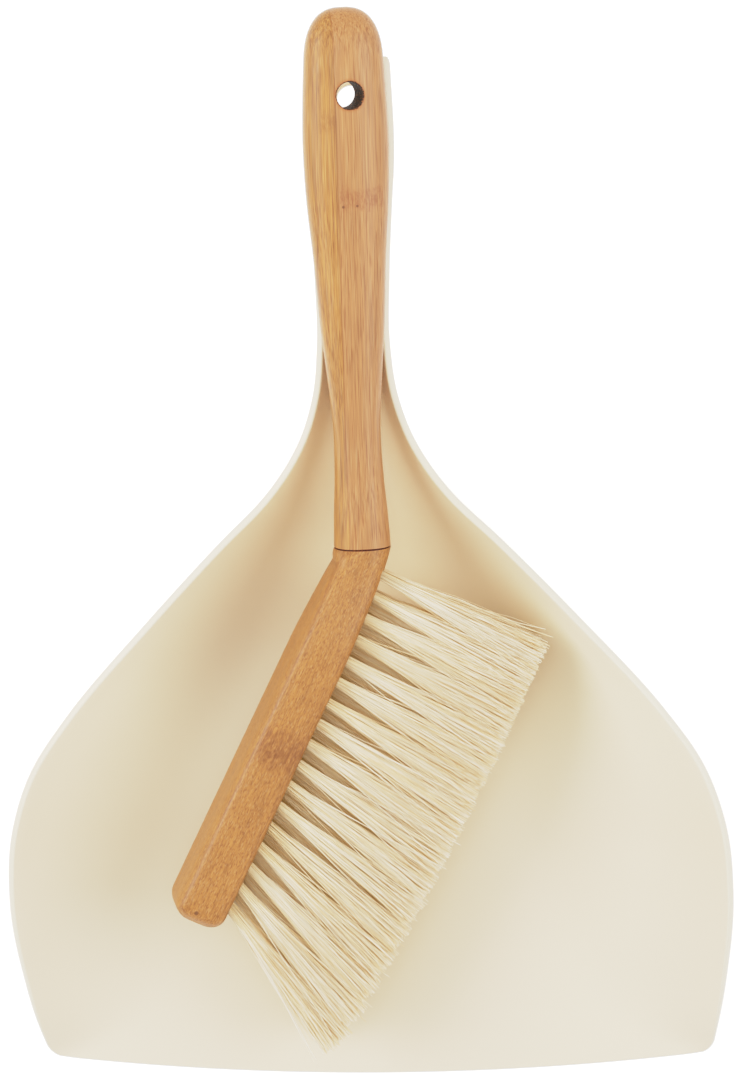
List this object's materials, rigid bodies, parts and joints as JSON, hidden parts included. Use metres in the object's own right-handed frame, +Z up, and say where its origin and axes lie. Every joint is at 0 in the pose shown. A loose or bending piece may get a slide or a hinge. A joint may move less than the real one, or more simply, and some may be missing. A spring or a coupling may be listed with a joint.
{
  "type": "dust pan and brush set",
  "caption": "Broad one-piece dust pan with a channel handle, and a bamboo hand brush with a cranked head and long bristles lying in it.",
  "frame": {"origin": "on the floor under the widest place of the tray, at the middle of its flat underside", "axes": "+Z up, +Y towards the two handles, +X towards the bristle side of the brush"},
  "size_m": [0.2448, 0.3572, 0.0788],
  "materials": {
    "pan_plastic": "smooth cream moulded plastic with a soft satin sheen",
    "handle_bamboo": "laminated bamboo under a thin satin lacquer",
    "head_bamboo": "solid bamboo with short flecked grain under a thin satin lacquer",
    "dark_ring": "dark brown, matt",
    "steel": "plain drawn steel, hidden inside",
    "bristle": "cream filaments with a faint sheen"
  },
  "bodies": {
    "pan": {"dust_pan": "pan_plastic"},
    "brush": {"brush_handle": "handle_bamboo", "brush_head": "head_bamboo", "joint_ring": "dark_ring", "joining_stud": "steel", "tuft_staples": "steel", "tuft_a01": "bristle", "tuft_a02": "bristle", "tuft_a03": "bristle", "tuft_a04": "bristle", "tuft_a05": "bristle", "tuft_a06": "bristle", "tuft_a07": "bristle", "tuft_a08": "bristle", "tuft_a09": "bristle", "tuft_a10": "bristle", "tuft_a11": "bristle", "tuft_a12": "bristle", "tuft_a13": "bristle", "tuft_a14": "bristle", "tuft_a15": "bristle", "tuft_a16": "bristle", "tuft_a17": "bristle", "tuft_b01": "bristle", "tuft_b02": "bristle", "tuft_b03": "bristle", "tuft_b04": "bristle", "tuft_b05": "bristle", "tuft_b06": "bristle", "tuft_b07": "bristle", "tuft_b08": "bristle", "tuft_b09": "bristle", "tuft_b10": "bristle", "tuft_b11": "bristle", "tuft_b12": "bristle", "tuft_b13": "bristle", "tuft_b14": "bristle", "tuft_b15": "bristle", "tuft_c01": "bristle", "tuft_c02": "bristle", "tuft_c03": "bristle", "tuft_c04": "bristle", "tuft_c05": "bristle", "tuft_c06": "bristle", "tuft_c07": "bristle", "tuft_c08": "bristle", "tuft_c09": "bristle", "tuft_c10": "bristle", "tuft_c11": "bristle", "tuft_c12": "bristle", "tuft_c13": "bristle", "tuft_c14": "bristle", "tuft_c15": "bristle", "tuft_c16": "bristle", "tuft_c17": "bristle"}
  },
  "joints": [
    {"name": "brush_lift", "type": "slide", "parent": "pan", "child": "brush", "axis": [0, 0, 1], "range_m": [0, 0.15]}
  ]
}
